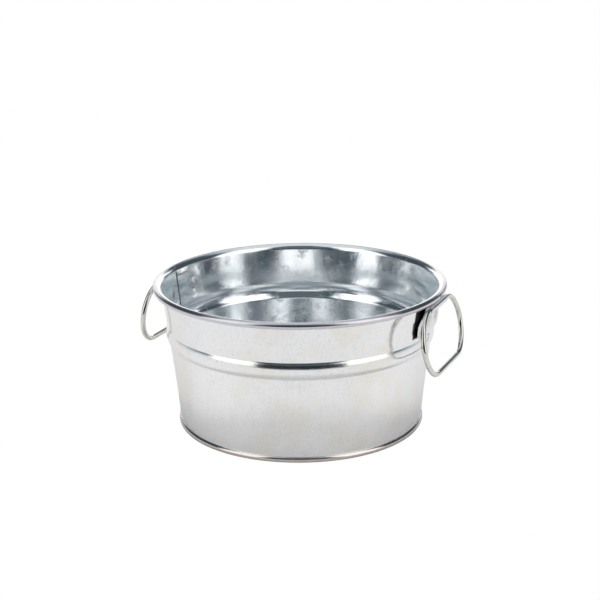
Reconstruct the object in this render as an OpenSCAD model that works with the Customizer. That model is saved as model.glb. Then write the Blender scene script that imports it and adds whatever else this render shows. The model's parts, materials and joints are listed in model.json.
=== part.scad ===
// Low round tub of thin galvanised sheet with a rolled rim, a raised bead, a
// double-seamed bottom and two wire ring handles that swing in welded brackets.
// Origin: centre of the base plane. +Z is up, the brackets sit on +X and -X.

/* [Tub] */
// Outer diameter of the rolled rim
rim_d = 160; // [150:1:200]
// Height from the base plane to the top of the rim
tub_h = 79.3; // [76:0.1:90]
// Thickness of the tub's sheet
sheet_t = 0.3; // [0.25:0.01:0.3]
// Outer radius of the bottom seam
seam_r = 68; // [66:0.1:69]
// Radius of the wall's middle layer where its taper changes
knee_r = 68.45; // [68:0.05:69]
// Height of that change of taper
knee_z = 20; // [15:1:25]
// Growth of the wall's radius for each millimetre of height above the knee
wall_slope = 0.1164; // [0.1:0.001:0.125]

/* [Rim] */
// Radius of the outer curl, through the middle of the sheet
curl_r = 1.6; // [1.3:0.05:1.7]
// How far the curl turns, counted from the top of the rim
curl_turn = 235; // [180:5:240]

/* [Bead] */
// Height of the middle of the bead
bead_z = 51.6; // [48:0.1:54]
// How far the bead stands out of the wall
bead_h = 1.25; // [0.6:0.05:1.6]
// Half of the bead's height along the wall
bead_half = 5.2; // [4:0.1:6]
// Radius of the hollow that leads into the bead
bead_fillet_r = 2.5; // [1.5:0.1:3]

/* [Side seam] */
// Where the inner edge of the lap lies round the tub, in degrees from +X
lap_angle = 183.5; // [182:0.5:184]
// How far round the tub the two layers overlap, in degrees
lap_span = 4.2; // [3:0.1:4.5]

/* [Ring handles] */
// Diameter of the ring's wire
wire_d = 2.8; // [2:0.1:2.8]
// Half length of the straight bar that turns in the knuckle
bar_half = 14.5; // [14.5:0.1:16]
// Radius of the ring's two upper corners
upper_r = 12.5; // [8:0.5:14]
// How far each upper corner turns, in degrees
upper_turn = 18; // [15:1:30]
// Radius of the ring's two sides
side_r = 17.2; // [16:0.1:19]
// How far each side turns, in degrees
side_turn = 116; // [100:1:120]
// Radius of the ring's two lower corners
lower_r = 13; // [9:0.5:14]
// How far the right ring stands out from hanging plumb, in degrees
tilt_right = 11; // [0:0.5:20]
// How far the left ring stands out from hanging plumb, in degrees
tilt_left = 8; // [0:0.5:20]
// How far the right ring has slid along its bar
slide_right = 1.6; // [0:0.1:2]
// How far the left ring has slid along its bar
slide_left = 2; // [0:0.1:2]

/* [Brackets] */
// Thickness of the bracket's sheet
bracket_t = 0.5; // [0.4:0.05:0.5]
// Width of the bracket along its lower edge
plate_w = 32; // [28:1:34]
// Length of the knuckle that holds the ring's bar
knuckle_l = 25; // [22:0.5:25]
// Height of the plate's lower edge
plate_z = 57.6; // [57.4:0.1:60]
// Height at which the plate bends away from the wall
bend_z = 67.6; // [66:0.1:68.5]
// Radius of the plate's two lower corners
plate_corner_r = 4; // [2:0.5:5]
// Distance of the hinge line from the tub's axis
hinge_x = 78.4; // [78.2:0.1:79]
// Height of the hinge line
hinge_z = 73.5; // [73:0.1:73.6]
// Gap all round between the bar and the knuckle
hinge_gap = 0.06; // [0.03:0.01:0.1]
// Diameter of each spot weld
weld_d = 5; // [4:0.1:6]
// Distance between a bracket's two spot welds
weld_pitch = 21.6; // [18:0.1:23]
// Height of the spot welds
weld_z = 64.5; // [63:0.1:65]

/* [Hidden] */
$fn = 96;

// Bottom seam: five layers of sheet side by side, from the pan's rising side outwards
layer_gap = 0.03;
layer = sheet_t + layer_gap;
pan_wrap_r = seam_r - sheet_t / 2;
body_hook_r = pan_wrap_r - layer;
cover_hook_r = pan_wrap_r - 2 * layer;
body_foot_r = pan_wrap_r - 3 * layer;
pan_side_r = pan_wrap_r - 4 * layer;
seam_top_z = 3.3;
pan_turn_z = seam_top_z - layer - sheet_t / 2;
pan_floor_z = 3.35;
pan_bend_r = 0.8;
foot_bend_r = 0.3;
cover_hook_z = 1.7;
body_hook_z = pan_turn_z - 0.04;
body_turn_z = 1.4;
body_clear_z = 3.9;
foot_flare = 0.35;
foot_flare_z = 5.6;
sealant_w = 0.7;
sealant_h = 0.55;
sealant_gap = 0.01;

// Rim: a wide lip rolls outwards from the wall and ends in the tighter curl
slope_angle = atan(wall_slope);
curl_x = rim_d / 2 - sheet_t / 2 - curl_r;
rim_top_z = tub_h - sheet_t / 2;
lip_r = (curl_x - knee_r - wall_slope * (rim_top_z - knee_z))
  / (cos(slope_angle) - wall_slope * (1 - sin(slope_angle)));
lip_center_z = rim_top_z - lip_r;

// Bead: a convex crown between two concave fillets, square to the wall
bead_turn = 2 * atan(bead_h / bead_half);
bead_crown_r = bead_half / sin(bead_turn) - bead_fillet_r;
bead_crown_drop = bead_crown_r - bead_h;

bend_steps = 6;
curl_steps = 18;
lip_steps = 10;
bead_steps = 8;

// Ring: the bars and the two sides are a hair thinner and end inside the four corner bends
nest = 0.02;
lower_turn = 180 - upper_turn - side_turn;
wire_r = wire_d / 2;
thin_r = wire_r - nest;
nest_l = 0.35;
nest_turn = 1.2;

// Bracket: the plate runs up the wall, leaves it and ends inside the start of the knuckle
bore_r = thin_r + hinge_gap;
knuckle_r = bore_r + bracket_t + nest;
knuckle_mid_r = (bore_r + knuckle_r) / 2;
plate_nest_l = 0.15;
plate_offset = (sheet_t + bracket_t) / 2 + 0.02;
knuckle_open_to = 255;
opening_reach = 4;
weld_proud = 0.15;

function wall_r(z) = knee_r + wall_slope * (z - knee_z);

// Points along an arc, from one angle to another
function arc(center, r, from, to, steps) = [
  for (i = [0:steps]) let (a = from + (to - from) * i / steps) center + r * [cos(a), sin(a)]
];

// Point on the wall's middle layer: u along the wall from the bead's middle, v out of it
function on_wall(u, v) = [wall_r(bead_z), bead_z]
  + u * [sin(slope_angle), cos(slope_angle)]
  + v * [cos(slope_angle), -sin(slope_angle)];

function to_wall(points) = [for (p = points) on_wall(p.y, p.x)];

// The bead in the wall's own frame, from its lower end to its upper end
bead_path = to_wall(concat(
  arc([bead_fillet_r, -bead_half], bead_fillet_r, 180, 180 - bead_turn, bead_steps),
  arc([-bead_crown_drop, 0], bead_crown_r, -bead_turn, bead_turn, 2 * bead_steps),
  arc([bead_fillet_r, bead_half], bead_fillet_r, 180 + bead_turn, 180, bead_steps)
));

// Middle layer of the tub's sheet: hook in the bottom seam, wall, bead, lip and curl
foot_path = concat(
  [[body_hook_r, body_hook_z]],
  arc([cover_hook_r, body_turn_z], layer, 0, -180, 2 * bend_steps),
  [[body_foot_r, body_clear_z]]
);
side_path = concat(
  [[body_foot_r + foot_flare, foot_flare_z], [knee_r, knee_z]],
  bead_path
);
rim_path = concat(
  arc([curl_x, lip_center_z], lip_r, 180 - slope_angle, 90, lip_steps),
  arc([curl_x, rim_top_z - curl_r], curl_r, 90, 90 - curl_turn, curl_steps)
);
wall_path = concat(foot_path, side_path, rim_path);
lap_path = concat(side_path, [rim_path[0]]);

// Middle layer of the bottom pan: floor, rising side, foot and the hook round the wall
pan_path = concat(
  [[0, pan_floor_z]],
  arc([pan_side_r - pan_bend_r, pan_floor_z - pan_bend_r], pan_bend_r, 90, 0, bend_steps),
  arc([pan_side_r + foot_bend_r, sheet_t / 2 + foot_bend_r], foot_bend_r, 180, 270, bend_steps),
  arc([pan_wrap_r - foot_bend_r, sheet_t / 2 + foot_bend_r], foot_bend_r, -90, 0, bend_steps),
  arc([body_hook_r, pan_turn_z], layer, 0, 180, 2 * bend_steps),
  [[cover_hook_r, cover_hook_z]]
);

function unit(v) = v / norm(v);
function left_of(v) = [-v.y, v.x];

// Mitred offset of one point of a path, positive to the left of its direction
function offset_point(path, i, d) =
  let (
    last = len(path) - 1,
    before = unit(path[max(i, 1)] - path[max(i, 1) - 1]),
    after = unit(path[min(i, last - 1) + 1] - path[min(i, last - 1)]),
    side = unit(left_of(before) + left_of(after))
  )
  path[i] + d * side / (side * left_of(after));

// Drops a point that repeats the one before it, where two arcs of a path join
function clean(path) = [
  for (i = [0:len(path) - 1]) if (i == 0 || norm(path[i] - path[max(i - 1, 0)]) > 0.001) path[i]
];

// Outline of a sheet of thickness t whose middle is shifted by d from a path
function sheet_outline(raw, t, d = 0) =
  let (path = clean(raw), last = len(path) - 1)
  concat(
    [for (i = [0:last]) offset_point(path, i, d + t / 2)],
    [for (i = [last:-1:0]) offset_point(path, i, d - t / 2)]
  );

module weld_holes() {
  for (side = [0, 180]) {
    rotate([0, 0, side]) {
      weld_slug("front");
      weld_slug("back");
    }
  }
}

module tub_wall() {
  color("gainsboro")
  difference() {
    union() {
      rotate_extrude() polygon(sheet_outline(wall_path, sheet_t));
      rotate_extrude(angle = lap_span, start = lap_angle - lap_span)
        polygon(sheet_outline(lap_path, sheet_t, sheet_t));
    }
    weld_holes();
  }
}

// The floor's middle lies on the axis, so its outline is closed by the axis itself
module bottom_pan() {
  color("silver")
  rotate_extrude() polygon(sheet_outline(pan_path, sheet_t));
}

module seam_sealant() {
  color("dimgray")
  rotate_extrude()
    translate([cover_hook_r - sealant_w / 2, sheet_t + sealant_gap]) square([sealant_w, sealant_h]);
}

// Middle of the bracket's sheet, from the plate's lower edge to the knuckle
function plate_x(z) = wall_r(z) + plate_offset / cos(slope_angle);
plate_bend = [plate_x(bend_z), bend_z];
hinge_point = [hinge_x, hinge_z];
bend_to_hinge = hinge_point - plate_bend;
tangent_angle = atan2(bend_to_hinge.y, bend_to_hinge.x) + asin(knuckle_mid_r / norm(bend_to_hinge));
plate_run = [cos(tangent_angle), sin(tangent_angle)];
plate_end = hinge_point + knuckle_mid_r * [-plate_run.y, plate_run.x] + plate_nest_l * plate_run;
plate_path = [[plate_x(plate_z), plate_z], plate_bend, plate_end];

// Knuckle from the side: an open ring round the hinge line
module knuckle_profile() {
  difference() {
    translate(hinge_point) circle(knuckle_r);
    translate(hinge_point) circle(bore_r);
    translate(hinge_point) polygon([
      [0, 0],
      opening_reach * [cos(tangent_angle + 90), sin(tangent_angle + 90)],
      opening_reach * [cos(knuckle_open_to), sin(knuckle_open_to)]
    ]);
  }
}

// Front outline of the bracket: square below with round corners, narrower at the knuckle
module bracket_front() {
  half = plate_w / 2;
  top_half = knuckle_l / 2;
  reach = knuckle_r + 1;
  polygon(concat(
    arc([half - plate_corner_r, plate_z + plate_corner_r], plate_corner_r, -90, 0, bend_steps),
    [[half, bend_z - 2], [top_half, bend_z + 2], [top_half, hinge_z + reach]],
    [[-top_half, hinge_z + reach], [-top_half, bend_z + 2], [-half, bend_z - 2]],
    arc([plate_corner_r - half, plate_z + plate_corner_r], plate_corner_r, 180, 270, bend_steps)
  ));
}

// Stretches a side profile along Y, as long as the plate is wide
module across_plate() {
  rotate([90, 0, 0]) translate([0, 0, -plate_w / 2]) linear_extrude(plate_w) children();
}

module bracket() {
  color("lightgray")
  difference() {
    intersection() {
      union() {
        across_plate() polygon(sheet_outline(plate_path, bracket_t));
        across_plate() knuckle_profile();
      }
      translate([rim_d / 4, 0, 0]) rotate([90, 0, 90]) linear_extrude(rim_d / 2) bracket_front();
    }
    weld_slug("front");
    weld_slug("back");
  }
}

// One spot weld: a slug through both sheets, turned half way from the plate to the round wall
weld_wall_r = wall_r(weld_z);
weld_turn = asin(weld_pitch / 2 / weld_wall_r) / 2;
weld_gap = weld_wall_r - sqrt(pow(weld_wall_r, 2) - pow(weld_pitch / 2, 2));
weld_reach = weld_d / 2 * sin(weld_turn);
weld_l = weld_gap + plate_offset + (bracket_t + sheet_t) / 2 + 2 * (weld_proud + weld_reach);

module weld_slug(place) {
  side = place == "front" ? -1 : 1;
  translate([plate_x(weld_z) + bracket_t / 2, side * weld_pitch / 2, weld_z])
    rotate([0, 0, side * weld_turn]) rotate([0, slope_angle - 90, 0])
    translate([0, 0, -weld_proud - weld_reach]) cylinder(h = weld_l, d = weld_d);
}

module spot_weld(place) {
  color("rosybrown") weld_slug(place);
}

// One bend of the ring: a stretch of torus that starts at the origin and heads along +X
module wire_bend(r, turn, w = wire_r, over = 0) {
  translate([0, -r, 0]) rotate([0, 0, 90 - turn - over])
    rotate_extrude(angle = turn + 2 * over) translate([r, 0]) circle(w);
}

// Straight bar of the ring along X, centred, long enough to end inside its two corners
module wire_bar(half) {
  rotate([0, 90, 0]) translate([0, 0, -half - nest_l]) cylinder(h = 2 * (half + nest_l), r = thin_r);
}

// Where a bend that starts at the origin along +X ends
function bend_end(r, turn) = r * [sin(turn), cos(turn) - 1];
function turned(v, a) = [v.x * cos(a) - v.y * sin(a), v.x * sin(a) + v.y * cos(a)];

upper_end = [bar_half, 0] + bend_end(upper_r, upper_turn);
side_end = upper_end + turned(bend_end(side_r, side_turn), -upper_turn);
lower_end = side_end + turned(bend_end(lower_r, lower_turn), -upper_turn - side_turn);

// Bends of one half of the ring, flat in the XY plane, with the bar's middle at the origin
module ring_bends() {
  translate([bar_half, 0, 0]) wire_bend(upper_r, upper_turn);
  translate(upper_end) rotate([0, 0, -upper_turn]) wire_bend(side_r, side_turn, thin_r, nest_turn);
  translate(side_end) rotate([0, 0, -upper_turn - side_turn]) wire_bend(lower_r, lower_turn);
}

module ring(tilt, slide) {
  color("darkgray")
  translate([hinge_x, slide, hinge_z])
    rotate([0, -tilt, 0]) rotate([90, 0, 90]) {
      wire_bar(bar_half);
      ring_bends();
      mirror([1, 0, 0]) ring_bends();
      translate([0, lower_end.y, 0]) wire_bar(lower_end.x);
    }
}

module on_left() {
  rotate([0, 0, 180]) children();
}

module bracket_right() {
  bracket();
}

module bracket_left() {
  on_left() bracket();
}

module weld_right_front() {
  spot_weld("front");
}

module weld_right_back() {
  spot_weld("back");
}

module weld_left_front() {
  on_left() spot_weld("back");
}

module weld_left_back() {
  on_left() spot_weld("front");
}

module ring_right() {
  ring(tilt_right, slide_right);
}

module ring_left() {
  on_left() ring(tilt_left, slide_left);
}

tub_wall();
bottom_pan();
seam_sealant();
bracket_right();
bracket_left();
weld_right_front();
weld_right_back();
weld_left_front();
weld_left_back();
ring_right();
ring_left();
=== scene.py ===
"""Looks of a low round galvanised tub with a rolled rim, a bead and two wire ring handles.

Profiles and outlines are in millimetres, and meshes are scaled to metres when they are made.
Angles are in degrees. Azimuth 0 is +X, where the right bracket sits.
"""

import json
import math

import bmesh
import bpy
import numpy as np
from mathutils import Matrix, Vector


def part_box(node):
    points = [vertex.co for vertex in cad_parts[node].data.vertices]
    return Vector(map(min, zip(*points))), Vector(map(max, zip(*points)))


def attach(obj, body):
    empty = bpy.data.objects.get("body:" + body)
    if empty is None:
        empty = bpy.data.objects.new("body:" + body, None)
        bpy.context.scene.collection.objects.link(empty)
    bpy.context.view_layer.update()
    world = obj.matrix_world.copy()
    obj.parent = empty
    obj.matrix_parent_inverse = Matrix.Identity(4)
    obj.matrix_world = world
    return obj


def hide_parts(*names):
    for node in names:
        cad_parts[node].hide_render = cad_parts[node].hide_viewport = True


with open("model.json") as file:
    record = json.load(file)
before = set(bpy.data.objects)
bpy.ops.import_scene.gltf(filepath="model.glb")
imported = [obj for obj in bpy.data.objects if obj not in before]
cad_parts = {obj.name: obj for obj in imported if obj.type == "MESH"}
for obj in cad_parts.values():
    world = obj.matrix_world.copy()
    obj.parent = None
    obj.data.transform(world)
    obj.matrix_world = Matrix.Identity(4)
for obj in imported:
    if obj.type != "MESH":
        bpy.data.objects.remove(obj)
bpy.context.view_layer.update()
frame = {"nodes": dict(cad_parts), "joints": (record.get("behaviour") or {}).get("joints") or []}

MM = 0.001


def box_mm(node):
    """Lowest and highest corner of a CAD node, in millimetres."""
    return [np.array(corner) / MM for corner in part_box(node)]


# ---------------------------------------------------------------- sizes, in mm

wall_hi = box_mm("tub_wall")[1]
pan_hi = box_mm("bottom_pan")[1]
bracket_lo, bracket_hi = box_mm("bracket_right")
hinges = {joint["child"]: np.array(joint["pos_m"]) / MM for joint in frame["joints"]}
hinge_x, hinge_z = hinges["handle_right"][0], hinges["handle_right"][2]

SHEET_T = 0.3
RIM_R = round(wall_hi[1], 1)
TUB_H = wall_hi[2]
SEAM_R = pan_hi[0]
FLOOR_Z = pan_hi[2] - SHEET_T / 2

KNEE_R, KNEE_Z, WALL_SLOPE = 68.45, 20.0, 0.1164
FLARE_Z, FLARE_BEND = 30.0, 0.0008
CURL_R, CURL_TURN = 1.6, 235
BEAD_Z, BEAD_H, BEAD_HALF, BEAD_FILLET_R = 51.6, 1.25, 5.2, 2.5
LAP_ANGLE, LAP_SPAN, LAP_FADE = 183.5, 4.2, 15.0
LAP_STEP = LAP_ANGLE - LAP_SPAN
LAP_CLEARANCE = 0.01

WIRE_R = 1.4
BAR_HALF, UPPER_R, UPPER_TURN, SIDE_R, SIDE_TURN, LOWER_R = 14.5, 12.5, 18, 17.2, 116, 13.0
TILT = {"handle_right": 11.0, "handle_left": 8.0}
SLIDE = {"handle_right": 1.6, "handle_left": 2.0}

BRACKET_T = 0.5
BRACKET_GAP = 0.02
PLATE_HALF = bracket_hi[1]
PLATE_Z = bracket_lo[2]
BEND_Z = 67.6
PLATE_CORNER_R = 4.0
KNUCKLE_HALF = 12.5
BORE_R = 1.44
KNUCKLE_END = -105

# Each weld draws the wall in by WELD_DENT, and its plate by PLATE_SHARE of that.
# Each cap is a list of radius and height, from its middle out.
WELD_Y, WELD_Z = 10.8, 64.5
WELD_DENT, WELD_SPREAD, PLATE_SHARE = 0.42, 4.2, 0.6
INNER_CAP = [(0.25, 0.13), (0.7, 0.13), (1.05, 0.10), (1.3, 0.04), (1.55, 0.02), (1.8, 0.06), (2.1, 0.05),
             (2.4, 0.0), (2.5, -0.08)]
OUTER_CAP = [(0.25, 0.08), (0.9, 0.07), (1.5, 0.05), (1.95, 0.04), (2.25, 0.10), (2.5, 0.12), (2.75, 0.06),
             (2.95, -0.08)]

SLOPE_ANGLE = math.degrees(math.atan(WALL_SLOPE))
SLOPE = math.radians(SLOPE_ANGLE)
UP_WALL = np.array([math.sin(SLOPE), math.cos(SLOPE)])
OUT_OF_WALL = np.array([math.cos(SLOPE), -math.sin(SLOPE)])

# Where the wall's foot stands in the seam, where it starts to follow its taper, and where the rim curls over.
FOOT_R = SEAM_R - 1.24
FOOT_LOW, FOOT_TOP = 0.9, 3.6
FLARE_START = 6.2
CURL_X = RIM_R - SHEET_T / 2 - CURL_R
RIM_TOP = TUB_H - SHEET_T / 2
LIP_R = ((CURL_X - KNEE_R - WALL_SLOPE * (RIM_TOP - KNEE_Z))
         / (math.cos(SLOPE) - WALL_SLOPE * (1 - math.sin(SLOPE))))
LIP_Z = RIM_TOP - LIP_R


# ---------------------------------------------------------------- outlines

def turn(angle):
    """Unit vector at an angle in degrees."""
    return np.array([math.cos(math.radians(angle)), math.sin(math.radians(angle))])


def arc(center, r, start, end, steps):
    """Points along an arc, from one angle to another."""
    return [np.array(center) + r * turn(start + (end - start) * i / steps) for i in range(steps + 1)]


def line(start, end, steps):
    """Points from start to end, both included."""
    start, end = np.array(start, float), np.array(end, float)
    return [start + (end - start) * i / steps for i in range(steps + 1)]


def soft_corner(start, corner, end):
    """Points of a curve that leaves start towards the corner and reaches end from it."""
    return [(1 - t) ** 2 * start + 2 * t * (1 - t) * corner + t ** 2 * end for t in np.linspace(0, 1, 7)]


def clean(points, least=0.004):
    """Drop each point that all but repeats the one before it."""
    kept = [np.array(points[0], float)]
    for point in points[1:]:
        if np.hypot(*(np.array(point) - kept[-1])) > least:
            kept.append(np.array(point, float))
    return np.array(kept)


def path_normals(path):
    """Unit normals to the left of an open path, and how far each has to stretch at a corner."""
    steps = np.diff(path, axis=0)
    steps /= np.hypot(steps[:, 0], steps[:, 1])[:, None]
    before = np.vstack([steps[:1], steps])
    after = np.vstack([steps, steps[-1:]])
    along = before + after
    along /= np.hypot(along[:, 0], along[:, 1])[:, None]
    normals = np.stack([-along[:, 1], along[:, 0]], axis=1)
    stretch = 1 / np.clip((along * after).sum(axis=1), 0.7, 1)
    return normals, stretch


def sheet_outline(path, thickness):
    """Closed outline of a sheet round its middle path, with blunt cut edges, and the normal at each point."""
    normals, stretch = path_normals(path)
    shift = normals * (stretch * thickness / 2)[:, None]
    left, right = path + shift, path - shift
    start_dir = (path[0] - path[1]) / np.hypot(*(path[0] - path[1]))
    end_dir = (path[-1] - path[-2]) / np.hypot(*(path[-1] - path[-2]))
    start_cap = path[0] + start_dir * thickness * 0.3
    end_cap = path[-1] + end_dir * thickness * 0.3
    outline = np.vstack([left, [end_cap], right[::-1], [start_cap]])
    out_normals = np.vstack([normals, normals[-1:], normals[::-1], normals[:1]])
    return outline, out_normals


def wall_r(z):
    """Radius of the middle of the wall's sheet: a straight taper that steepens towards the bottom seam."""
    straight = KNEE_R + WALL_SLOPE * (z - KNEE_Z)
    return straight + FLARE_BEND * np.clip(FLARE_Z - z, 0, None) ** 2


def on_wall(along, out):
    """Point near the bead: along the wall from the bead's middle, and out of it."""
    middle = np.array([wall_r(BEAD_Z), BEAD_Z])
    return middle + along * UP_WALL + out * OUT_OF_WALL


def bead_path():
    """The bead: a convex crown between two concave fillets."""
    bend = 2 * math.degrees(math.atan(BEAD_H / BEAD_HALF))
    crown_r = BEAD_HALF / math.sin(math.radians(bend)) - BEAD_FILLET_R
    flat = (arc([BEAD_FILLET_R, -BEAD_HALF], BEAD_FILLET_R, 180, 180 - bend, 10)
            + arc([BEAD_H - crown_r, 0], crown_r, -bend, bend, 24)
            + arc([BEAD_FILLET_R, BEAD_HALF], BEAD_FILLET_R, 180 + bend, 180, 10))
    return [on_wall(p[1], p[0]) for p in flat]


def wall_path():
    """Middle of the wall's sheet, from inside the bottom seam up to the end of the rim's curl."""
    bead = bead_path()
    foot = line([FOOT_R, FOOT_LOW], [FOOT_R, FOOT_TOP], 3)
    start = np.array([wall_r(FLARE_START), FLARE_START])
    blend = soft_corner(foot[-1], np.array([FOOT_R + 0.05, 4.9]), start)
    lower = [[wall_r(z), z] for z in np.linspace(FLARE_START, bead[0][1], 34)]
    lip_start = arc([CURL_X, LIP_Z], LIP_R, 180 - SLOPE_ANGLE, 90, 18)
    upper = [[wall_r(z), z] for z in np.linspace(bead[-1][1], lip_start[0][1], 22)]
    curl = arc([CURL_X, RIM_TOP - CURL_R], CURL_R, 90, 90 - CURL_TURN, 26)
    return clean([*foot, *blend, *lower, *bead, *upper, *lip_start, *curl])


def pan_path():
    """Middle of the pan's sheet: floor, rising side, foot, the bulged outer skin of the seam and its hook."""
    wrap_r, foot_z = SEAM_R - SHEET_T / 2, SHEET_T / 2
    side_r, hook_r, hook_z = wrap_r - 1.32, wrap_r - 0.78, 1.4
    floor_r, foot_r, bottom_r, top_r = 0.8, 0.3, 1.3, 0.2
    bulge_r, low, high = 1.75, -20, 50
    drop = math.sin(math.radians(-low))
    bulge = np.array([wrap_r - bulge_r, foot_z + bottom_r * (1 - drop) + bulge_r * drop])
    bulge_low, bulge_high = bulge + bulge_r * turn(low), bulge + bulge_r * turn(high)
    return clean([
        *line([0, FLOOR_Z], [side_r - floor_r, FLOOR_Z], 12),
        *arc([side_r - floor_r, FLOOR_Z - floor_r], floor_r, 90, 0, 8),
        *arc([side_r + foot_r, foot_z + foot_r], foot_r, 180, 270, 5),
        *arc(bulge_low - bottom_r * turn(low), bottom_r, -90, low, 10),
        *arc(bulge, bulge_r, low, high, 14),
        *arc(bulge_high - top_r * turn(high), top_r, high, 180, 10),
        [hook_r, hook_z],
    ])


# ---------------------------------------------------------------- how the sheet strays from its outline

RNG = np.random.default_rng(11)
WAVE_HEIGHT = 0.016
WAVES = [(n, RNG.uniform(-0.12, 0.12), RNG.uniform(0, 2 * math.pi), 1 / n ** 0.9)
         for n in (2, 3, 5, 7, 9, 12, 15, 19, 24, 31)]


def smooth(x):
    """0 below 0, 1 above 1, with a soft step between."""
    x = np.clip(x, 0, 1)
    return x * x * (3 - 2 * x)


def wander(azimuth, z):
    """Slow waves that rolled sheet keeps, about 0.03 mm high."""
    total = sum(size * np.cos(n * np.radians(azimuth) + pull * z + phase) for n, pull, phase, size in WAVES)
    return WAVE_HEIGHT * total


def near_weld(azimuth, z):
    """Distance in mm along the wall from the nearest spot weld."""
    weld_r = wall_r(WELD_Z)
    weld_az = math.degrees(math.asin(WELD_Y / weld_r))
    distances = []
    for center in (weld_az, -weld_az, 180 - weld_az, 180 + weld_az):
        across = (azimuth - center + 180) % 360 - 180
        distances.append(np.hypot(np.radians(across) * weld_r, z - WELD_Z))
    return np.minimum.reduce(distances)


def weld_pull(distance):
    """How far a weld draws the sheet towards its neighbour."""
    return WELD_DENT * np.exp(-(distance / WELD_SPREAD) ** 2)


def between(z, low, rise, high, fall):
    """1 between two heights, rising softly above the low one and falling softly above the high one."""
    return smooth((z - low) / rise) * (1 - smooth((z - high) / fall))


def sheet_waves(azimuth, z):
    """Waves and weld dents, which the bottom seam and the rim hold flat."""
    return between(z, 4, 8, 74, 4) * wander(azimuth, z) + weld_pull(near_weld(azimuth, z))


def lap_height(z):
    """1 where the lap stands free, fading to 0 at the bottom seam and at the rim."""
    return between(z, 5, 3, 73, 4)


def lap_shift(azimuth, z):
    """The sheet's inner end lies one thickness further in, under the lap, and eases back."""
    behind = (LAP_STEP - azimuth) % 360
    fade = 1 - smooth(behind / LAP_FADE)
    return -SHEET_T * fade * lap_height(z)


def wall_stray(azimuth, z):
    """Shift of the wall's sheet out of its outline, in mm, outwards."""
    return sheet_waves(azimuth, z) + lap_shift(azimuth, z)


def under_lap_stray(azimuth, z):
    """The same for the strip of sheet that lies under the lap."""
    return sheet_waves(azimuth, z) - SHEET_T * lap_height(z) - LAP_CLEARANCE


# ---------------------------------------------------------------- meshes

def new_piece(name, vertices_mm, faces, sharp=35):
    """A mesh object made of points in mm, smooth except at edges sharper than the angle."""
    mesh = bpy.data.meshes.new(name)
    mesh.from_pydata((np.asarray(vertices_mm) * MM).tolist(), [], faces)
    mesh.validate()
    shape = bmesh.new()
    shape.from_mesh(mesh)
    bmesh.ops.recalc_face_normals(shape, faces=shape.faces)
    shape.to_mesh(mesh)
    shape.free()
    mesh.shade_smooth()
    mesh.set_sharp_from_angle(angle=math.radians(sharp))
    piece = bpy.data.objects.new(name, mesh)
    bpy.context.scene.collection.objects.link(piece)
    return piece


def grid_faces(columns, rows, wrap_columns, wrap_rows, start=0):
    """Quads of a grid whose point (c, r) has index start + c * rows + r."""
    faces = []
    for c in range(columns if wrap_columns else columns - 1):
        d = (c + 1) % columns
        for r in range(rows if wrap_rows else rows - 1):
            s = (r + 1) % rows
            faces.append(tuple(start + column * rows + row for column, row in ((c, r), (d, r), (d, s), (c, s))))
    return faces


def revolve(outline, normals, azimuths, stray=None):
    """Points of an outline turned to each azimuth, shifted along its normals by stray(azimuth, z)."""
    azimuths = np.asarray(azimuths, float)
    radius = np.tile(outline[:, 0], (len(azimuths), 1))
    height = np.tile(outline[:, 1], (len(azimuths), 1))
    if stray is not None:
        shift = stray(azimuths[:, None], height)
        outward = -normals if normals[len(normals) // 4][0] < 0 else normals
        radius = radius + shift * outward[:, 0]
        height = height + shift * outward[:, 1]
    c, s = np.cos(np.radians(azimuths))[:, None], np.sin(np.radians(azimuths))[:, None]
    return np.stack([radius * c, radius * s, height], axis=-1).reshape(-1, 3)


def wall_azimuths():
    """Azimuths round the tub: close together at the welds, with a step at the outer end of the lap."""
    near, fine_step, coarse_step, half_step = 15.0, 0.33, 1.1, 0.03
    fine = np.arange(-near, near + 0.01, fine_step)
    coarse = np.arange(near + coarse_step, 180 - near - 0.5, coarse_step)
    spread = [a + side for part in (fine, coarse) for side in (0, 180) for a in part]
    away = {round(a % 360, 3) for a in spread if abs(a - LAP_STEP) > 5 * half_step}
    return sorted(away | {LAP_STEP - half_step, LAP_STEP + half_step})


def lap_strip(path, start):
    """Inner end of the sheet, under the lap: its points, and its faces when its first point has index start."""
    inside = [p for p in path if FLARE_START <= p[1] <= LIP_Z + 0.5 * LIP_R and p[0] < CURL_X - 0.3]
    outline, normals = sheet_outline(np.array(inside), SHEET_T)
    azimuths = [LAP_STEP - 0.02, *np.linspace(LAP_STEP + 0.3, LAP_ANGLE, 10)]
    points = revolve(outline, normals, azimuths, under_lap_stray)
    rows, half = len(outline), len(inside)
    faces = grid_faces(len(azimuths), rows, False, True, start)
    for column in (0, len(azimuths) - 1):
        base = start + column * rows
        faces += [(base + i, base + i + 1, base + rows - 3 - i, base + rows - 2 - i) for i in range(half - 1)]
        faces += [(base + half - 1, base + half, base + half + 1), (base + rows - 1, base, base + rows - 2)]
    return points, faces


def make_wall():
    """Wall, bead, rim and curl as one sheet, and the inner end of the sheet under the lap."""
    path = wall_path()
    outline, normals = sheet_outline(path, SHEET_T)
    azimuths = wall_azimuths()
    points = revolve(outline, normals, azimuths, wall_stray)
    faces = grid_faces(len(azimuths), len(outline), True, True)
    lap_points, lap_faces = lap_strip(path, len(points))
    return new_piece("tub_shell", np.vstack([points, lap_points]), faces + lap_faces)


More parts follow.
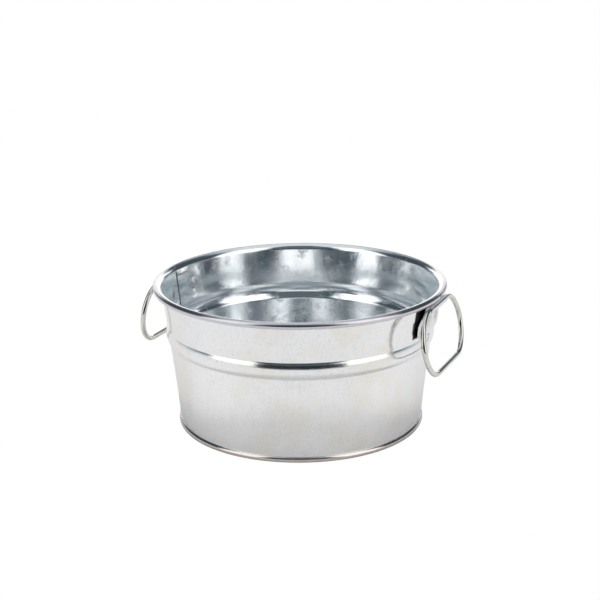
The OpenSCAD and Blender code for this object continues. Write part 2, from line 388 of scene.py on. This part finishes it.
def make_pan():
    """Bottom pan with the outer skin of the double seam."""
    path = pan_path()
    outline, normals = sheet_outline(path, SHEET_T)
    azimuths = np.arange(0, 360, 1.0)
    off_axis = outline[:, 0] > 0.01
    points = revolve(outline[off_axis], normals[off_axis], azimuths)
    rows = np.count_nonzero(off_axis)
    faces = grid_faces(len(azimuths), rows, True, False)
    top, bottom = len(points), len(points) + 1
    centers = [[0, 0, outline[0][1]], [0, 0, outline[2 * len(path)][1]]]
    for c in range(len(azimuths)):
        d = (c + 1) % len(azimuths)
        faces.append((top, d * rows, c * rows))
        faces.append((bottom, c * rows + rows - 1, d * rows + rows - 1))
    return new_piece("pan_shell", np.vstack([points, centers]), faces)


def ring_outline():
    """Middle line of a ring in its own plane: across, and down from the hinge. A closed loop."""
    def bend(start, heading, r, angle, steps):
        center = start + r * np.array([-math.sin(math.radians(heading)), math.cos(math.radians(heading))])
        points = []
        for i in range(1, steps + 1):
            h = math.radians(heading + angle * i / steps)
            points.append(center + r * np.array([math.sin(h), -math.cos(h)]))
        return points, heading + angle

    half = [np.array([x, 0.0]) for x in np.linspace(0, BAR_HALF, 15)]
    heading = 0.0
    for r, angle, steps in ((UPPER_R, UPPER_TURN, 10), (SIDE_R, SIDE_TURN, 60),
                            (LOWER_R, 180 - UPPER_TURN - SIDE_TURN, 20)):
        points, heading = bend(half[-1], heading, r, angle, steps)
        half += points
    half += line(half[-1], [0, half[-1][1]], 12)[1:]
    half = np.array(half)
    other = half[::-1][1:-1] * [-1, 1]
    return np.vstack([half, other])


def make_ring(name, body, side):
    """Wire ring hung on its hinge. side is 1 for the right one and -1 for the left one."""
    loop = ring_outline()
    along = np.roll(loop, -1, axis=0) - np.roll(loop, 1, axis=0)
    along /= np.hypot(along[:, 0], along[:, 1])[:, None]
    normal = np.stack([along[:, 1], -along[:, 0]], axis=1)
    sides = 32
    tilt = math.radians(TILT[body])
    down = np.array([math.sin(tilt), 0, -math.cos(tilt)])
    face = np.array([math.cos(tilt), 0, math.sin(tilt)])
    across = np.array([0, 1, 0])
    points = []
    for (u, v), (nu, nv) in zip(loop, normal):
        middle = (u + SLIDE[body]) * across + v * down
        for k in range(sides):
            a = 2 * math.pi * k / sides
            outward = math.cos(a) * (nu * across + nv * down) + math.sin(a) * face
            points.append(middle + WIRE_R * outward)
    points = np.array(points) * [side, side, 1] + hinges[body]
    return new_piece(name, points, grid_faces(len(loop), sides, True, True), sharp=80)


def plate_middle(z):
    """Distance from the tub's axis to the middle of a bracket's plate, at a height."""
    return wall_r(z) + ((SHEET_T + BRACKET_T) / 2 + BRACKET_GAP) / math.cos(SLOPE)


def bracket_path():
    """Middle of the bracket's strip in the XZ plane, from its lower edge to the end of the knuckle."""
    low, bend = (np.array([plate_middle(z), z]) for z in (PLATE_Z, BEND_Z))
    hinge, r = np.array([hinge_x, hinge_z]), BORE_R + BRACKET_T / 2
    to_hinge = hinge - bend
    lean = math.atan2(to_hinge[1], to_hinge[0]) + math.asin(r / np.hypot(*to_hinge))
    contact = math.degrees(lean) + 90
    touch = hinge + r * turn(contact)
    bow = soft_corner(bend + (low - bend) * 0.1, bend, bend + (touch - bend) * 0.15)
    corner = line(low, low + (bend - low) * PLATE_CORNER_R / (BEND_Z - PLATE_Z), 12)
    plate = line(corner[-1], bow[0], 14)
    rise = line(bow[-1], touch, 8)
    return clean([*corner, *plate, *bow, *rise, *arc(hinge, r, contact, KNUCKLE_END, 32)])


def bracket_half_width(point, passed_bend):
    """Half width of the strip at a point of its path: round corners below, narrower at the knuckle."""
    if passed_bend:
        return KNUCKLE_HALF
    z = point[1]
    corner = PLATE_CORNER_R - min(z - PLATE_Z, PLATE_CORNER_R)
    rounding = PLATE_CORNER_R - math.sqrt(max(PLATE_CORNER_R ** 2 - corner ** 2, 0))
    narrow = smooth((z - BEND_Z + 2) / 4) * (PLATE_HALF - KNUCKLE_HALF)
    return PLATE_HALF - rounding - narrow


def make_bracket(name, side):
    """Bracket strip as its middle surface, thickened and rounded by modifiers. side is 1 or -1."""
    path = bracket_path()
    normals, _ = path_normals(path)
    columns = 65
    points = []
    passed = False
    for point, normal in zip(path, normals):
        passed = passed or point[1] > BEND_Z + 2.2
        half = bracket_half_width(point, passed)
        for y in np.linspace(-half, half, columns):
            drop = 0
            if point[1] < BEND_Z + 1 and not passed:
                distance = min(math.hypot(y - w, point[1] - WELD_Z) for w in (-WELD_Y, WELD_Y))
                drop = weld_pull(distance) * PLATE_SHARE
            points.append([point[0] + normal[0] * drop, y, point[1] + normal[1] * drop])
    points = np.array(points) * [side, side, 1]
    piece = new_piece(name, points, grid_faces(len(path), columns, False, False), sharp=50)
    solid = piece.modifiers.new("thickness", "SOLIDIFY")
    solid.thickness, solid.offset, solid.use_even_offset = BRACKET_T * MM, 0, True
    bevel = piece.modifiers.new("edges", "BEVEL")
    bevel.width, bevel.segments, bevel.limit_method = 0.1 * MM, 2, "ANGLE"
    bevel.angle_limit = math.radians(50)
    return piece


def plate_face(z, distance):
    """Point of the bracket's outer face in the XZ plane, at a height and a distance from the nearest weld."""
    out = BRACKET_T / 2 - weld_pull(distance) * PLATE_SHARE
    return np.array([plate_middle(z), z]) + out * OUT_OF_WALL


def wall_face(y, z, side, proud):
    """Point on the wall's inner face, or proud of it, at a height and a distance from the XZ plane."""
    reach = wall_r(z)
    azimuth = math.degrees(math.atan2(y, side * math.sqrt(reach ** 2 - y ** 2))) % 360
    out = float(wall_stray(azimuth, z)) - SHEET_T / 2 - proud
    reach, z = np.array([reach, z]) + out * OUT_OF_WALL
    return [*(reach * turn(azimuth)), z]


def make_weld(name, side, y_side):
    """Spot weld: a nugget through both sheets, with a cap on the wall's inner face and one on the bracket."""
    middle = y_side * WELD_Y
    phase = RNG.uniform(0, 2 * math.pi, 3)
    steps = 48
    points, from_middle = [], []
    rows = [(*row, True) for row in INNER_CAP] + [(*row, False) for row in reversed(OUTER_CAP)]
    for r, proud, inner in rows:
        for k in range(steps):
            a = 2 * math.pi * k / steps
            uneven = 1 + 0.05 * math.cos(2 * a + phase[0]) + 0.035 * math.cos(3 * a + phase[1])
            lump = 0.02 * math.cos(4 * a + phase[2]) * min(r, 1)
            y, z = middle + r * uneven * math.cos(a), WELD_Z + r * uneven * math.sin(a)
            if inner:
                points.append(wall_face(y, z, side, proud + lump))
            else:
                x, face_z = plate_face(z, r * uneven)
                points.append([side * (x + proud + lump), y, face_z])
            from_middle.append(r)
    faces = grid_faces(len(rows), steps, False, True)
    faces.append(tuple(range(steps)))
    faces.append(tuple(range((len(rows) - 1) * steps, len(rows) * steps)))
    piece = new_piece(name, points, faces, sharp=60)
    reach = piece.data.attributes.new("from_middle", "FLOAT", "POINT")
    reach.data.foreach_set("value", from_middle)
    return piece


# ---------------------------------------------------------------- pieces

shell = make_wall()
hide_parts("tub_wall")
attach(shell, "tub")

pan = make_pan()
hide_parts("bottom_pan")
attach(pan, "tub")

wire_pieces, bracket_pieces, weld_pieces = [], [], []
for where, side in (("right", 1), ("left", -1)):
    ring = make_ring(f"ring_wire_{where}", f"handle_{where}", side)
    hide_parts(f"ring_{where}")
    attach(ring, f"handle_{where}")
    wire_pieces.append(ring)
    bracket = make_bracket(f"bracket_strip_{where}", side)
    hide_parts(f"bracket_{where}")
    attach(bracket, "tub")
    bracket_pieces.append(bracket)
    for end, y_side in (("front", -1), ("back", 1)):
        weld = make_weld(f"weld_nugget_{where}_{end}", side, y_side)
        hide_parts(f"weld_{where}_{end}")
        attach(weld, "tub")
        weld_pieces.append(weld)


# ---------------------------------------------------------------- materials

ZINC, ZINC_GREY = (0.95, 0.96, 0.965), (0.86, 0.87, 0.875)
PLATE_ZINC, PLATE_GREY = (0.91, 0.92, 0.925), (0.80, 0.81, 0.815)
PAN_ZINC, PAN_GREY = (0.93, 0.945, 0.955), (0.85, 0.865, 0.875)
# The darker second colour below is partly rubbing wear, partly painted shade for the shaded table that the
# seam's foot mirrors.
SEAM_WARM, FOOT_RUB_AND_SHADE = (0.80, 0.70, 0.64), (0.60, 0.56, 0.53)
WARM_STAIN, GRAIN, PIT = (0.90, 0.88, 0.815), (0.66, 0.64, 0.60), (0.30, 0.30, 0.30)
COOL_INSIDE, SCUFF = (0.955, 0.985, 1.0), (0.74, 0.76, 0.77)
# The near-black second colour below is painted along the lap's crease: partly painted shade, partly dirt.
RIM_DULL, CREASE_SHADE_AND_DIRT = (0.66, 0.64, 0.68), (0.06, 0.065, 0.075)
# The near-black first colour below is painted shade for the gap behind the brackets, with some grime.
GAP_SHADE_AND_GRIME, RUST = (0.035, 0.036, 0.04), (0.16, 0.075, 0.035)
WIRE, WIRE_GREY, WIRE_MARK = (0.78, 0.77, 0.715), (0.63, 0.62, 0.57), (0.34, 0.32, 0.28)
WELD_COPPER, WELD_ZINC = (0.88, 0.72, 0.65), (0.88, 0.88, 0.89)
WELD_BURN, WELD_BLOB = (0.16, 0.15, 0.145), (0.36, 0.30, 0.27)
SEALANT_DARK, SEALANT_PALE = (0.20, 0.20, 0.195), (0.30, 0.30, 0.29)


class Graph:
    """Adds shader nodes and joins them."""

    def __init__(self, tree):
        self.tree = tree

    def add(self, kind, inputs=None, output=0, **settings):
        """New node with settings and inputs, each a value or another node's output. Gives one output."""
        node = self.tree.nodes.new(kind)
        for key, value in settings.items():
            setattr(node, key, value)
        for key, value in (inputs or {}).items():
            if isinstance(value, bpy.types.NodeSocket):
                self.tree.links.new(value, node.inputs[key])
            else:
                node.inputs[key].default_value = value
        return None if output is None else node.outputs[output]

    def math(self, operation, a, b=0.0):
        """One sum, product or other function of one or two numbers."""
        return self.add("ShaderNodeMath", {0: a, 1: b}, operation=operation)

    def times(self, a, b):
        """Product of two numbers."""
        return self.math("MULTIPLY", a, b)

    def plus(self, a, b):
        """Sum of two numbers."""
        return self.math("ADD", a, b)

    def split(self, vector):
        """Outputs X, Y and Z of a vector."""
        return self.add("ShaderNodeSeparateXYZ", {"Vector": vector}).node.outputs

    def normal(self):
        """Surface normal in the object's own axes."""
        return self.add("ShaderNodeTexCoord", output=1)

    def from_axis(self, vector):
        """Distance from the tub's axis, in metres."""
        place = self.split(vector)
        flat = self.add("ShaderNodeCombineXYZ", {"X": place["X"], "Y": place["Y"]})
        return self.add("ShaderNodeVectorMath", {0: flat}, output=1, operation="LENGTH")

    def noise(self, vector, scale, detail=2.0, rough=0.5):
        """Noise from 0 to 1."""
        return self.add("ShaderNodeTexNoise",
                        {"Vector": vector, "Scale": scale, "Detail": detail, "Roughness": rough})

    def step(self, value, low, high, start=0.0, end=1.0):
        """Soft step of a value from low to high, giving start to end."""
        return self.add("ShaderNodeMapRange", {"Value": value, "From Min": low, "From Max": high,
                                               "To Min": start, "To Max": end}, interpolation_type="SMOOTHSTEP")

    def blend(self, factor, a, b):
        """Number between a and b."""
        return self.add("ShaderNodeMix", {0: factor, 2: a, 3: b})

    def mix(self, factor, a, b):
        """Colour between a and b, each a colour or another node's output."""
        node = self.tree.nodes.new("ShaderNodeMix")
        node.data_type = "RGBA"
        for index, value in ((0, factor), (6, a), (7, b)):
            if isinstance(value, bpy.types.NodeSocket):
                self.tree.links.new(value, node.inputs[index])
            else:
                node.inputs[index].default_value = value if index == 0 else (*value, 1)
        return node.outputs[2]

    def bump(self, height, distance_mm, below=None):
        """Normal bent by a height, on top of another bump."""
        inputs = {"Height": height, "Distance": distance_mm * MM, "Strength": 1.0}
        if below is not None:
            inputs["Normal"] = below
        return self.add("ShaderNodeBump", inputs)

    def spots(self, vector, centers_mm, radius_mm):
        """1 inside small blots round each center, fading outwards."""
        total = None
        for center in centers_mm:
            apart = self.add("ShaderNodeVectorMath", {0: vector, 1: tuple(c * MM for c in center)},
                             output=1, operation="DISTANCE")
            spot = self.step(apart, 0.35 * radius_mm * MM, radius_mm * MM, 1.0, 0.0)
            total = spot if total is None else self.math("MAXIMUM", total, spot)
        return total


def new_metal(name):
    """New metal material, with its graph, its shader and the object coordinates."""
    material = bpy.data.materials.new(name)
    material.use_nodes = True
    tree = material.node_tree
    shader = tree.nodes["Principled BSDF"]
    shader.inputs["Metallic"].default_value = 1.0
    graph = Graph(tree)
    vector = graph.add("ShaderNodeTexCoord", output=3)
    return material, graph, shader, vector


def join(graph, shader, color, roughness, normal):
    """Feed colour, roughness and normal to the shader."""
    for key, socket in (("Base Color", color), ("Roughness", roughness), ("Normal", normal)):
        graph.tree.links.new(socket, shader.inputs[key])


def zinc_material(name, bright, grey, facing, rust=()):
    """Thin zinc coat on cold-rolled sheet: mottling, upright streaks and grey blotches.

    Its outside has warm stains and grain, and its inside is cooler and scuffed. Both wall and bracket get
    near-black painted shade, with some grime, in the gap behind the brackets. facing is 1 for the tub's wall,
    which also has its dull rim and a dark line along its lap crease, partly painted shade and partly dirt,
    and -1 for a bracket.
    """
    material, graph, shader, vector = new_metal(name)
    outside = faces_out(graph, vector)
    inside = graph.step(outside, 0, 1, 1.0, 0.0)
    mottle = graph.noise(vector, 95, 3.0, 0.55)
    fine = graph.noise(vector, 700, 3.0, 0.6)
    upright = graph.add("ShaderNodeMapping", {"Vector": vector, "Scale": (1, 1, 0.03)})
    streaks = graph.noise(upright, 900, 2.0, 0.6)
    blotch = graph.noise(vector, 38, 5.0, 0.65)
    stain = graph.step(graph.noise(vector, 30, 4.0, 0.6), 0.47, 0.66, 0.0, 0.75)
    grain = graph.step(graph.noise(vector, 1100, 3.0, 0.7), 0.50, 0.70, 0.0, 0.45)
    scuff = graph.times(graph.step(graph.noise(vector, 130, 6.0, 0.72), 0.50, 0.66), inside)
    pits = graph.step(graph.noise(vector, 1500, 1.0, 0.4), 0.755, 0.80)

    greyed = graph.plus(graph.times(graph.step(blotch, 0.50, 0.72), 0.85),
                        graph.times(graph.step(streaks, 0.35, 0.75), 0.35))
    color = graph.mix(greyed, bright, grey)
    color = graph.mix(graph.times(stain, outside), color, WARM_STAIN)
    color = graph.mix(graph.times(grain, outside), color, GRAIN)
    color = graph.mix(graph.step(outside, 0, 1, 0.5, 0.0), color, COOL_INSIDE)
    color = graph.mix(graph.times(scuff, 0.5), color, SCUFF)
    color = graph.mix(graph.times(pits, 0.5), color, PIT)
    roughness = graph.times(graph.step(blotch, 0.3, 0.75, 0.10, 0.20), graph.step(outside, 0, 1, 0.7, 1.0))
    roughness = graph.plus(roughness, graph.times(streaks, 0.03))
    roughness = graph.plus(roughness, graph.times(scuff, 0.16))

    # Near-black painted shade in the gap behind each bracket, on the wall's outer face and the plate's inner
    # face, with some grime.
    marks = [(gap_shade_and_grime(graph, vector, facing), 1.0, GAP_SHADE_AND_GRIME, 0.4)]
    if facing == 1:
        marks.insert(0, (on_curl(graph, vector), 0.9, RIM_DULL, 0.04))
        # A dark line painted along the lap's crease: partly painted shade, partly dirt in the crevice.
        marks.insert(1, (lap_crease_shade_and_dirt(graph, vector), 1.0, CREASE_SHADE_AND_DIRT, 0.4))
    if rust:
        marks.append((rust_spots(graph, vector, rust), 1.0, RUST, 0.5))
    for mask, share, mark_color, rougher in marks:
        color = graph.mix(graph.times(mask, share), color, mark_color)
        roughness = graph.plus(roughness, graph.times(mask, rougher))
    normal = graph.bump(mottle, 0.06)
    normal = graph.bump(streaks, 0.0035, normal)
    normal = graph.bump(fine, 0.010, normal)
    join(graph, shader, color, roughness, normal)
    return material


def pan_material():
    """The wall's zinc, duller, and warm round the foot that the tub stands on, with darker grey low on the
    foot: partly rubbing wear, partly painted shade for the shaded table that it mirrors.
    """
    material, graph, shader, vector = new_metal("pan_zinc")
    mottle = graph.noise(vector, 95, 3.0, 0.55)
    fine = graph.noise(vector, 700, 3.0, 0.6)
    blotch = graph.noise(vector, 38, 5.0, 0.65)
    outer = graph.step(graph.from_axis(vector), (SEAM_R - 1.0) * MM, (SEAM_R - 0.6) * MM)
    height = graph.plus(graph.split(vector)["Z"], graph.times(fine, 0.8 * MM))
    # Darker lower band of the seam's outer skin: partly rubbing wear, partly painted shade standing in for the
    # shaded table it mirrors.
    rubbed_and_shaded = graph.times(outer, graph.step(height, 1.3 * MM, 2.6 * MM, 1.0, 0.0))
    color = graph.mix(graph.times(graph.step(blotch, 0.45, 0.7), 0.6), PAN_ZINC, PAN_GREY)
    color = graph.mix(graph.times(outer, 0.9), color, SEAM_WARM)
    color = graph.mix(graph.times(rubbed_and_shaded, 0.85), color, FOOT_RUB_AND_SHADE)
    floor = graph.step(blotch, 0.3, 0.75, 0.28, 0.42)
    seam = graph.step(blotch, 0.3, 0.75, 0.10, 0.17)
    normal = graph.bump(fine, 0.006, graph.bump(mottle, 0.05))
    join(graph, shader, color, graph.blend(outer, floor, seam), normal)
    return material


def faces_out(graph, vector):
    """1 on faces turned away from the tub's axis, 0 on the tub's inside."""
    outward = graph.add("ShaderNodeVectorMath", {0: graph.normal(), 1: vector},
                        output=1, operation="DOT_PRODUCT")
    return graph.step(outward, -0.01, 0.01)


def on_curl(graph, vector):
    """1 on the rolled rim, where the rollers and handling have dulled the zinc."""
    ragged = graph.times(graph.noise(vector, 300, 3.0, 0.6), 0.8 * MM)
    reach = graph.plus(graph.from_axis(vector), ragged)
    out = graph.step(reach, (CURL_X - 0.4) * MM, (CURL_X + 0.8) * MM)
    return graph.times(out, graph.step(graph.split(vector)["Z"], (TUB_H - 4.4) * MM, (TUB_H - 3.8) * MM))


def lap_crease_shade_and_dirt(graph, vector):
    """1 along the lap's crease at the inner end of the sheet, inside the tub, where a dark line is painted:
    partly painted shade, partly dirt in the crevice.
    """
    place = graph.split(vector)
    c, s = turn(LAP_ANGLE)
    ragged = graph.times(graph.math("SUBTRACT", graph.noise(vector, 350, 3.0, 0.6), 0.5), 0.5 * MM)
    across = graph.plus(graph.times(place["X"], -s), graph.times(place["Y"], c))
    crease = graph.step(graph.math("ABSOLUTE", graph.plus(across, ragged)), 0.30 * MM, 0.55 * MM, 1.0, 0.0)
    crease = graph.times(crease, graph.step(place["X"], 0.0, -0.01))
    crease = graph.times(crease, graph.step(graph.split(graph.normal())["X"], 0.1, 0.4))
    return graph.times(crease, graph.step(place["Z"], 77 * MM, 78 * MM, 1.0, 0.0))


def gap_shade_and_grime(graph, vector, facing):
    """1 in the gap behind a bracket, painted near-black: painted shade for the dark gap, with some grime.
    facing is 1 for the tub's wall and -1 for a bracket.
    """
    place = graph.split(vector)
    x, y = (graph.math("ABSOLUTE", place[axis]) for axis in "XY")
    z = place["Z"]
    plate_back = KNEE_R - WALL_SLOPE * KNEE_Z + (SHEET_T / 2 + BRACKET_GAP) / math.cos(SLOPE)
    depth = graph.math("SUBTRACT", x, graph.plus(graph.times(z, WALL_SLOPE), plate_back * MM))
    ragged = graph.times(graph.noise(vector, 300, 3.0, 0.6), 0.5 * MM)
    low, high, edge = PLATE_Z * MM, (BEND_Z + 6.5) * MM, (PLATE_HALF + 1.0) * MM
    outward = graph.times(graph.times(graph.split(graph.normal())["X"], place["X"]), facing / (RIM_R * MM))
    hidden = graph.step(outward, 0.2, 0.5)
    for limit in (
        graph.step(depth, 0.06 * MM, 0.12 * MM, 1.0, 0.0),
        graph.step(depth, -2.6 * MM, -2.2 * MM),
        graph.step(graph.plus(y, ragged), edge, edge + 0.8 * MM, 1.0, 0.0),
        graph.step(graph.math("SUBTRACT", z, ragged), low - 0.2 * MM, low + 0.8 * MM),
        graph.step(z, high - MM, high, 1.0, 0.0),
    ):
        hidden = graph.times(hidden, limit)
    return hidden


def rust_spots(graph, vector, centers_mm):
    """1 in ragged specks round each center."""
    ragged = graph.times(graph.math("SUBTRACT", graph.noise(vector, 1300, 3.0, 0.6), 0.5), 1.4 * MM)
    place = graph.add("ShaderNodeVectorMath", {0: vector, 1: ragged}, operation="ADD")
    return graph.spots(place, centers_mm, 0.9)


def wire_material():
    """Bright zinc-plated wire, slightly yellow, with faint drawing marks and dull patches."""
    material, graph, shader, vector = new_metal("plated_wire")
    patch = graph.noise(vector, 160, 4.0, 0.6)
    fine = graph.noise(vector, 1400, 2.0, 0.5)
    color = graph.mix(graph.step(patch, 0.4, 0.7), WIRE, WIRE_GREY)
    color = graph.mix(graph.step(fine, 0.62, 0.72, 0.0, 0.35), color, WIRE_MARK)
    roughness = graph.step(patch, 0.3, 0.75, 0.06, 0.15)
    join(graph, shader, color, roughness, graph.bump(fine, 0.004, graph.bump(patch, 0.03)))
    return material


def weld_material():
    """Spot weld: coppery middle, burnt ring, and bright melted zinc outside it."""
    material, graph, shader, vector = new_metal("weld_metal")
    reach = graph.add("ShaderNodeAttribute", output=2, attribute_name="from_middle")
    ragged = graph.plus(reach, graph.times(graph.noise(vector, 900, 3.0, 0.6), 0.5))
    blobs = graph.noise(vector, 1200, 3.0, 0.6)
    burnt = graph.times(graph.step(ragged, 1.35, 1.6), graph.step(ragged, 1.9, 2.2, 1.0, 0.0))
    color = graph.mix(graph.step(ragged, 1.0, 1.5), WELD_COPPER, WELD_ZINC)
    color = graph.mix(graph.times(burnt, 0.6), color, WELD_BURN)
    color = graph.mix(graph.step(blobs, 0.6, 0.72, 0.0, 0.5), color, WELD_BLOB)
    roughness = graph.step(blobs, 0.3, 0.7, 0.14, 0.42)
    join(graph, shader, color, roughness, graph.bump(blobs, 0.07))
    return material


def sealant_material():
    """Grey rubbery sealant with a dull, slightly grainy skin."""
    material, graph, shader, vector = new_metal("seam_rubber")
    shader.inputs["Metallic"].default_value = 0.0
    grain = graph.noise(vector, 1100, 4.0, 0.6)
    color = graph.mix(grain, SEALANT_DARK, SEALANT_PALE)
    join(graph, shader, color, graph.step(grain, 0.2, 0.8, 0.55, 0.8), graph.bump(grain, 0.03))
    return material


def dress(piece, material):
    """Give a piece one material."""
    piece.data.materials.clear()
    piece.data.materials.append(material)


def on_rim(azimuth, z):
    """Point on the outside of the rim's curl, in mm."""
    c, s = turn(azimuth)
    return (RIM_R * c, RIM_R * s, z)


rust_places = [on_rim(1.2, 77.9), on_rim(2.6, 77.2), on_rim(0.4, 78.4),
               (-76.3, -2.6, 78.6), (-75.4, -3.4, 77.2)]
zinc = zinc_material("zinc_sheet", ZINC, ZINC_GREY, 1, rust_places)
pan_zinc = pan_material()
bracket_zinc = zinc_material("bracket_zinc", PLATE_ZINC, PLATE_GREY, -1)
wire, weld_metal, rubber = wire_material(), weld_material(), sealant_material()
for pieces, material in (([shell], zinc), ([pan], pan_zinc), (bracket_pieces, bracket_zinc),
                         (wire_pieces, wire), (weld_pieces, weld_metal)):
    for piece in pieces:
        dress(piece, material)
for name, node in frame["nodes"].items():
    dress(node, rubber if name == "seam_sealant" else zinc)


# ---------------------------------------------------------------- studio

# Lengths here are in metres.
CAMERA_AROUND, CAMERA_DISTANCE, CAMERA_HEIGHT = 24, 0.678, 0.2739
CAMERA_PITCH, CAMERA_ROLL, CAMERA_LENS = 16.96, -0.571, 77.5
TABLE_FRONT, TABLE_HALF = 0.33, 2.0
PAPER = (0.94, 0.905, 0.89)
WHITE = (1.0, 1.0, 1.0)
LIGHT_HEIGHT = 1.6

# Brightness of the tent's sides, top and foot, and the tint of its darkest parts.
TENT_SIDE, TENT_TOP, TENT_FOOT = 0.07, 0.76, 0.62
DARK_TINT = (0.74, 0.99, 1.2)

# Each patch: azimuth from the camera's side, half width, lowest and highest elevation, softness, brightness.
STUDIO_PATCHES = [
    (-177, 27, -10, 23, 3, 1.2),
    (180, 38, 13, 22, 3, 1.15),
    (180, 20, 36, 58, 4, 0.8),
    (54, 24, -4, 56, 5, 1.32),
    (-57, 22, -4, 56, 5, 1.22),
    (0, 24, 12, 70, 6, 0.13),
    (0, 37, -90, 14, 3, 0.02),
]


def make_camera():
    """Camera turned to the right of the view along +Y, looking down over the rim."""
    data = bpy.data.cameras.new("camera")
    data.lens, data.sensor_width = CAMERA_LENS, 36
    camera = bpy.data.objects.new("camera", data)
    around = math.radians(CAMERA_AROUND)
    x, y = CAMERA_DISTANCE * math.sin(around), -CAMERA_DISTANCE * math.cos(around)
    camera.matrix_world = (
        Matrix.Translation((x, y, CAMERA_HEIGHT))
        @ Matrix.Rotation(around, 4, "Z")
        @ Matrix.Rotation(math.radians(90 - CAMERA_PITCH), 4, "X")
        @ Matrix.Rotation(math.radians(CAMERA_ROLL), 4, "Z")
    )
    bpy.context.scene.collection.objects.link(camera)
    bpy.context.scene.camera = camera


def make_table():
    """Table of pale paper that ends a little way in front of the tub. The camera sees it as plain white."""
    corners = [(x, y, 0) for x, y in ((-TABLE_HALF, -TABLE_FRONT), (TABLE_HALF, -TABLE_FRONT),
                                      (TABLE_HALF, TABLE_HALF), (-TABLE_HALF, TABLE_HALF))]
    mesh = bpy.data.meshes.new("table")
    mesh.from_pydata(corners, [], [(0, 1, 2, 3)])
    table = bpy.data.objects.new("table", mesh)
    table.rotation_euler[2] = math.radians(CAMERA_AROUND)
    bpy.context.scene.collection.objects.link(table)
    material = bpy.data.materials.new("white_table")
    material.use_nodes = True
    tree = material.node_tree
    graph = Graph(tree)
    tree.nodes.clear()
    paper = graph.add("ShaderNodeBsdfDiffuse", {"Color": (*PAPER, 1)})
    white = graph.add("ShaderNodeEmission", {"Color": (*WHITE, 1), "Strength": 1.0})
    seen = graph.add("ShaderNodeLightPath", output=0)
    surface = graph.add("ShaderNodeMixShader", {0: seen, 1: paper, 2: white})
    graph.add("ShaderNodeOutputMaterial", {"Surface": surface}, output=None)
    table.data.materials.append(material)


def make_overhead(name, size, power, lean):
    """Softbox overhead that lights the table. It leans behind the tub, and the sheet doesn't mirror it."""
    data = bpy.data.lights.new(name, "AREA")
    data.shape, data.size, data.energy = "DISK", size, power
    light = bpy.data.objects.new(name, data)
    light.matrix_world = (Matrix.Rotation(math.radians(CAMERA_AROUND), 4, "Z")
                          @ Matrix.Rotation(math.radians(-lean), 4, "X")
                          @ Matrix.Translation((0, 0, LIGHT_HEIGHT)))
    light.visible_glossy = False
    bpy.context.scene.collection.objects.link(light)


def make_world():
    """Light tent: pale above and behind, softboxes beside the camera, and the dark gap it looks through."""
    world = bpy.data.worlds.new("studio")
    bpy.context.scene.world = world
    world.use_nodes = True
    graph = Graph(world.node_tree)
    graph.tree.nodes.clear()
    direction = graph.add("ShaderNodeTexCoord", output=0)
    to_camera = math.radians(90 - CAMERA_AROUND)
    turned = graph.add("ShaderNodeVectorRotate", {"Vector": direction, "Angle": to_camera},
                       rotation_type="Z_AXIS")
    parts = graph.split(turned)
    azimuth = graph.math("ARCTAN2", parts["Y"], parts["X"])
    elevation = graph.math("ARCSINE", parts["Z"])
    light = graph.step(elevation, math.radians(44), math.radians(64), TENT_SIDE, TENT_TOP)
    light = graph.math("MAXIMUM", light, graph.step(elevation, 0.0, math.radians(10), TENT_FOOT, 0.0))
    for patch in STUDIO_PATCHES:
        middle, half, low, high, soft = (math.radians(angle) for angle in patch[:-1])
        apart = graph.math("SUBTRACT", azimuth, middle)
        apart = graph.add("ShaderNodeMath", {0: apart, 1: math.pi, 2: -math.pi}, operation="WRAP")
        mask = graph.step(graph.math("ABSOLUTE", apart), half - soft, half + soft, 1.0, 0.0)
        mask = graph.times(mask, graph.step(elevation, low - soft, low + soft))
        mask = graph.times(mask, graph.step(elevation, high - soft, high + soft, 1.0, 0.0))
        light = graph.blend(mask, light, patch[-1])
    seen = graph.add("ShaderNodeLightPath", output=0)
    color = graph.mix(seen, graph.mix(light, DARK_TINT, WHITE), WHITE)
    background = graph.add("ShaderNodeBackground", {"Color": color, "Strength": graph.blend(seen, light, 1.0)})
    graph.add("ShaderNodeOutputWorld", {"Surface": background}, output=None)


make_camera()
make_table()
make_overhead("key", 0.4, 4.3, 19)
make_overhead("fill", 2.0, 7.0, -6)
make_world()
scene = bpy.context.scene
scene.view_settings.view_transform = "Standard"
scene.cycles.max_bounces = scene.cycles.glossy_bounces = 32
